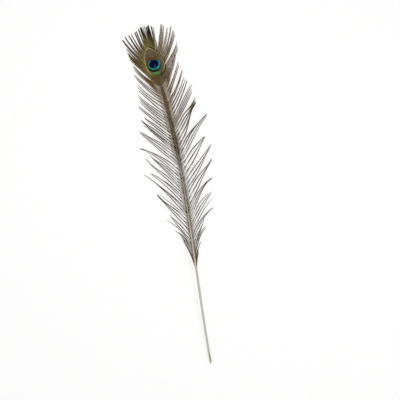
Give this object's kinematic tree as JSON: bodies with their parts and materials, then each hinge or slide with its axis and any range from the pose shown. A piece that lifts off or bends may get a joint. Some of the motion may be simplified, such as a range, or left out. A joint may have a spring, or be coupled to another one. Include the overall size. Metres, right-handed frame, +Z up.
{
  "type": "peacock feather",
  "caption": "Peacock train feather lying face up: a bare quill, a bowed tapering shaft, long loose barbs along its sides and a close-barbed eye with a fringe at the tip.",
  "frame": {"origin": "middle of the feather's footprint, on the surface it lies on", "axes": "+Y from the quill's end to the fringe above the eye, +Z up out of the face that shows the eye, +X to the right of the feather seen from above with the eye at the far end"},
  "size_m": [0.157, 0.7042, 0.0132],
  "materials": {
    "shaft_keratin": "satin",
    "loose_barbs": "satin, slightly iridescent",
    "eye_barbs": "iridescent"
  },
  "bodies": {
    "root": {"shaft": "shaft_keratin", "left_vane": "loose_barbs", "right_vane": "loose_barbs", "left_eye_web": "eye_barbs", "right_eye_web": "eye_barbs"}
  },
  "joints": []
}
